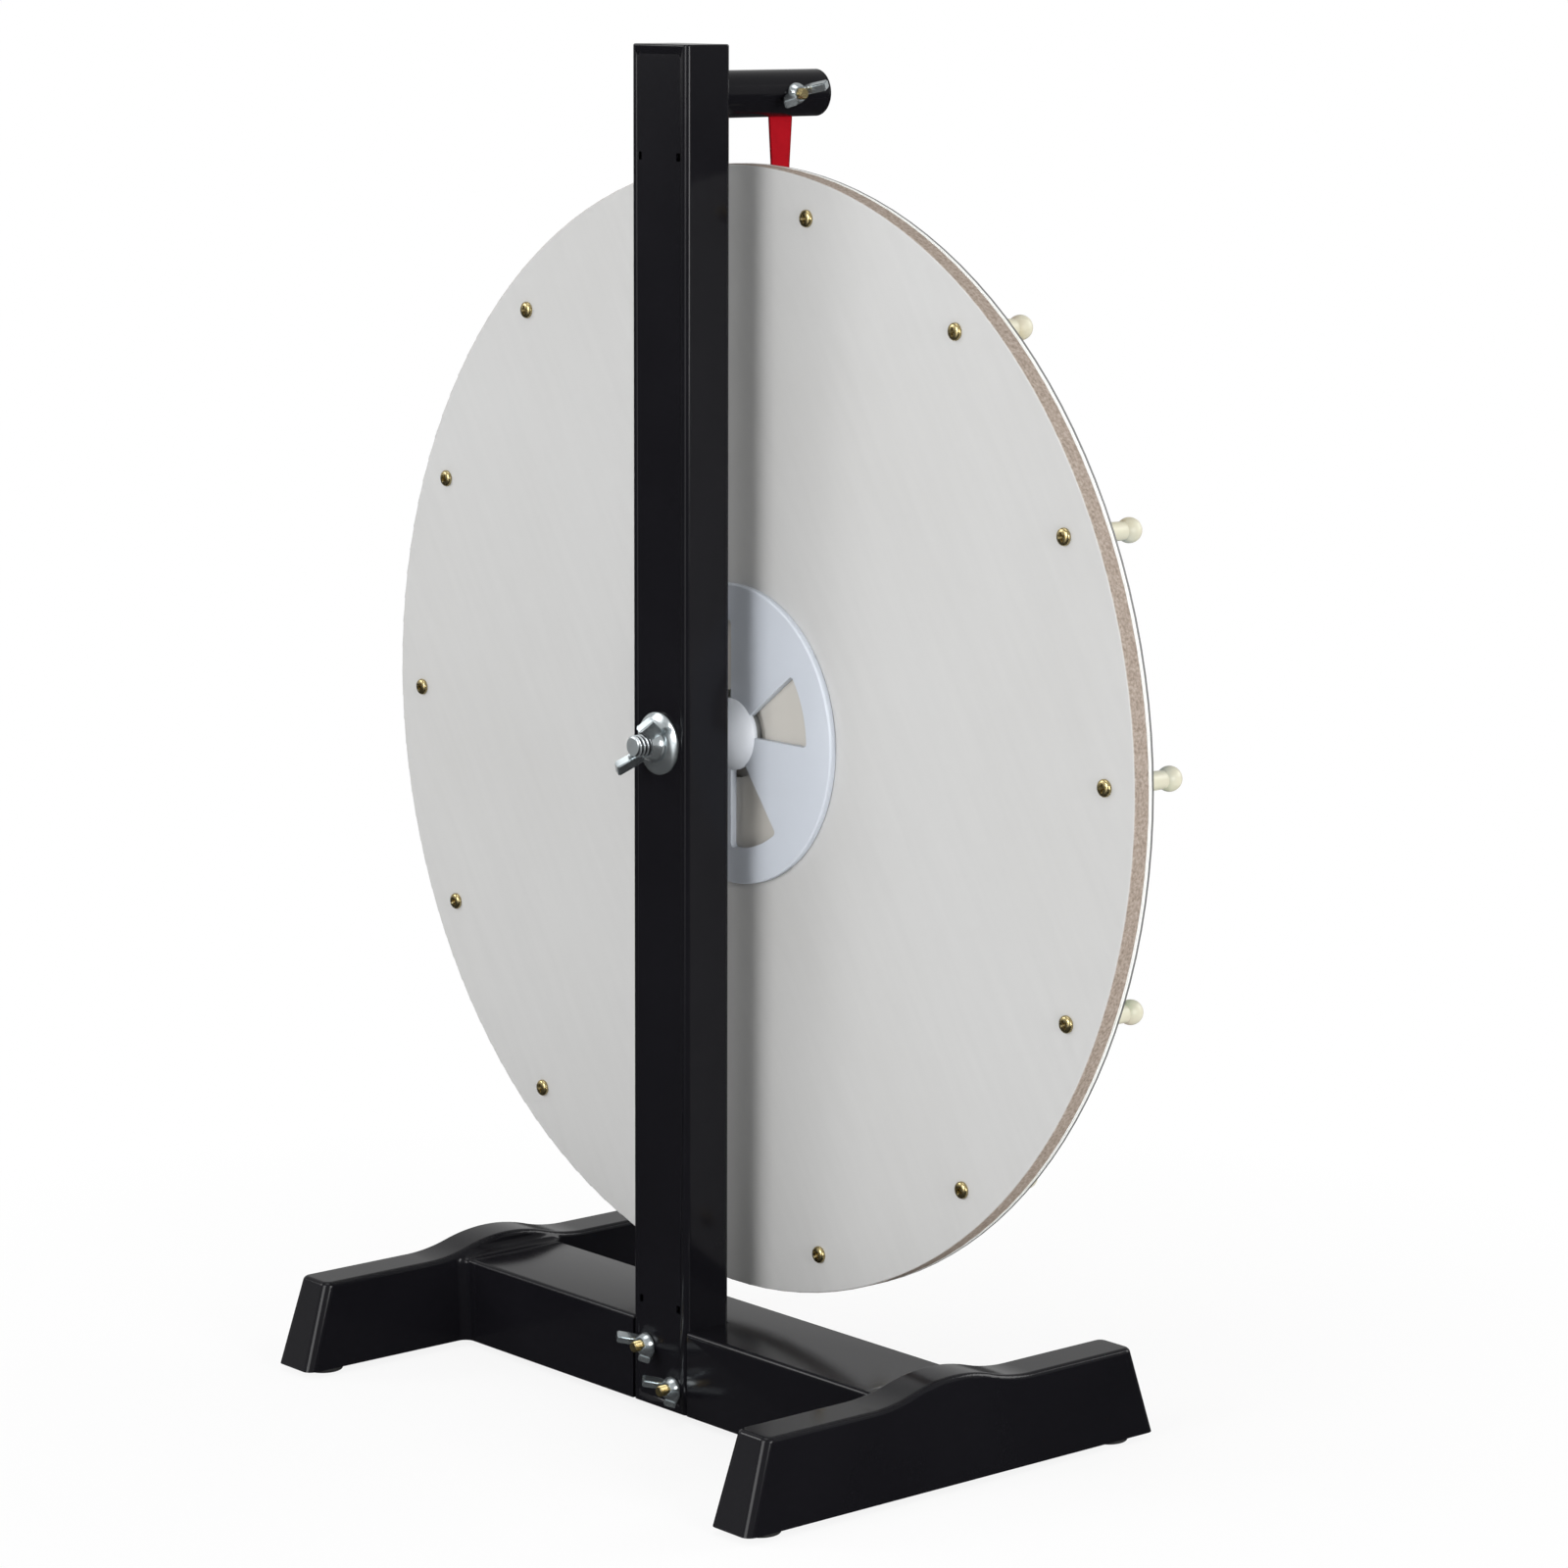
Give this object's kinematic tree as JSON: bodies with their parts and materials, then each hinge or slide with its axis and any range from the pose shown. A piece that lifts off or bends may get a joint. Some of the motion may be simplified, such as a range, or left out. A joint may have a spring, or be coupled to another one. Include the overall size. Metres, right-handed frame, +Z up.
{
  "type": "prize wheel spinner",
  "caption": "Tabletop prize wheel with a round pegged board on a ball-bearing hub, a black plastic post and two-footed base, and a red flexible clapper on an arm over the rim",
  "frame": {"origin": "on the floor, under the middle of the base", "axes": "+Z up, the playing face of the wheel looks to -Y, the post stands behind it, +X along the crossbeam"},
  "size_m": [0.6095, 0.286, 0.738],
  "materials": {
    "black_plastic": "moulded, smooth, glossy",
    "foot_rubber": "matt rubber",
    "zinc_steel": "bright zinc plated",
    "yellow_zinc": "yellow zinc plated steel",
    "board": "grey-white faced fibre board with a brown core",
    "printed_face": "plain coloured segments",
    "clear_plastic": "clear, smooth",
    "cream_plastic": "moulded, cream",
    "white_plastic": "moulded, satin white",
    "bearing_steel": "ground and polished",
    "aluminium_tube": "turned",
    "red_rubber": "flexible, satin"
  },
  "bodies": {
    "stand": {"foot_left": "black_plastic", "foot_right": "black_plastic", "foot_pads": "foot_rubber", "foot_screws": "zinc_steel", "crossbeam": "black_plastic", "base_bolts": "yellow_zinc", "base_wing_nuts": "zinc_steel", "post_channel": "black_plastic", "post_rear_cover": "black_plastic", "bearing_inner_rings": "bearing_steel", "bearing_balls": "bearing_steel", "bearing_spacer": "aluminium_tube", "hub_spacer": "aluminium_tube", "axle_sleeve": "aluminium_tube", "axle_head_washer": "zinc_steel", "axle_bolt": "zinc_steel", "axle_washer": "zinc_steel", "axle_wing_nut": "zinc_steel", "pointer_arm": "black_plastic", "arm_end_plug": "black_plastic", "arm_root_plug": "black_plastic", "arm_screw": "zinc_steel", "clapper_root": "red_rubber", "clapper_bushes": "black_plastic", "clapper_bolt": "yellow_zinc", "clapper_wing_nut": "zinc_steel"},
    "wheel": {"wheel_board": "board", "face_sheet": "printed_face", "clear_cover": "clear_plastic", "wheel_pegs": "cream_plastic", "peg_screws": "yellow_zinc", "hub_flange_rear": "white_plastic", "hub_flange_front": "white_plastic", "hub_cap": "white_plastic", "hub_screws": "yellow_zinc", "bearing_outer_rings": "bearing_steel"},
    "clapper": {"clapper_strip": "red_rubber"}
  },
  "joints": [
    {"name": "wheel_spin", "type": "hinge", "parent": "stand", "child": "wheel", "pos_m": [0, 0, 0.37], "axis": [0, 1, 0], "continuous": true},
    {"name": "clapper_flex", "type": "hinge", "parent": "stand", "child": "clapper", "pos_m": [0, -0.0505, 0.6978], "axis": [0, 1, 0], "range_deg": [-40, 40], "stiffness_Nm_per_rad": 0.02}
  ]
}
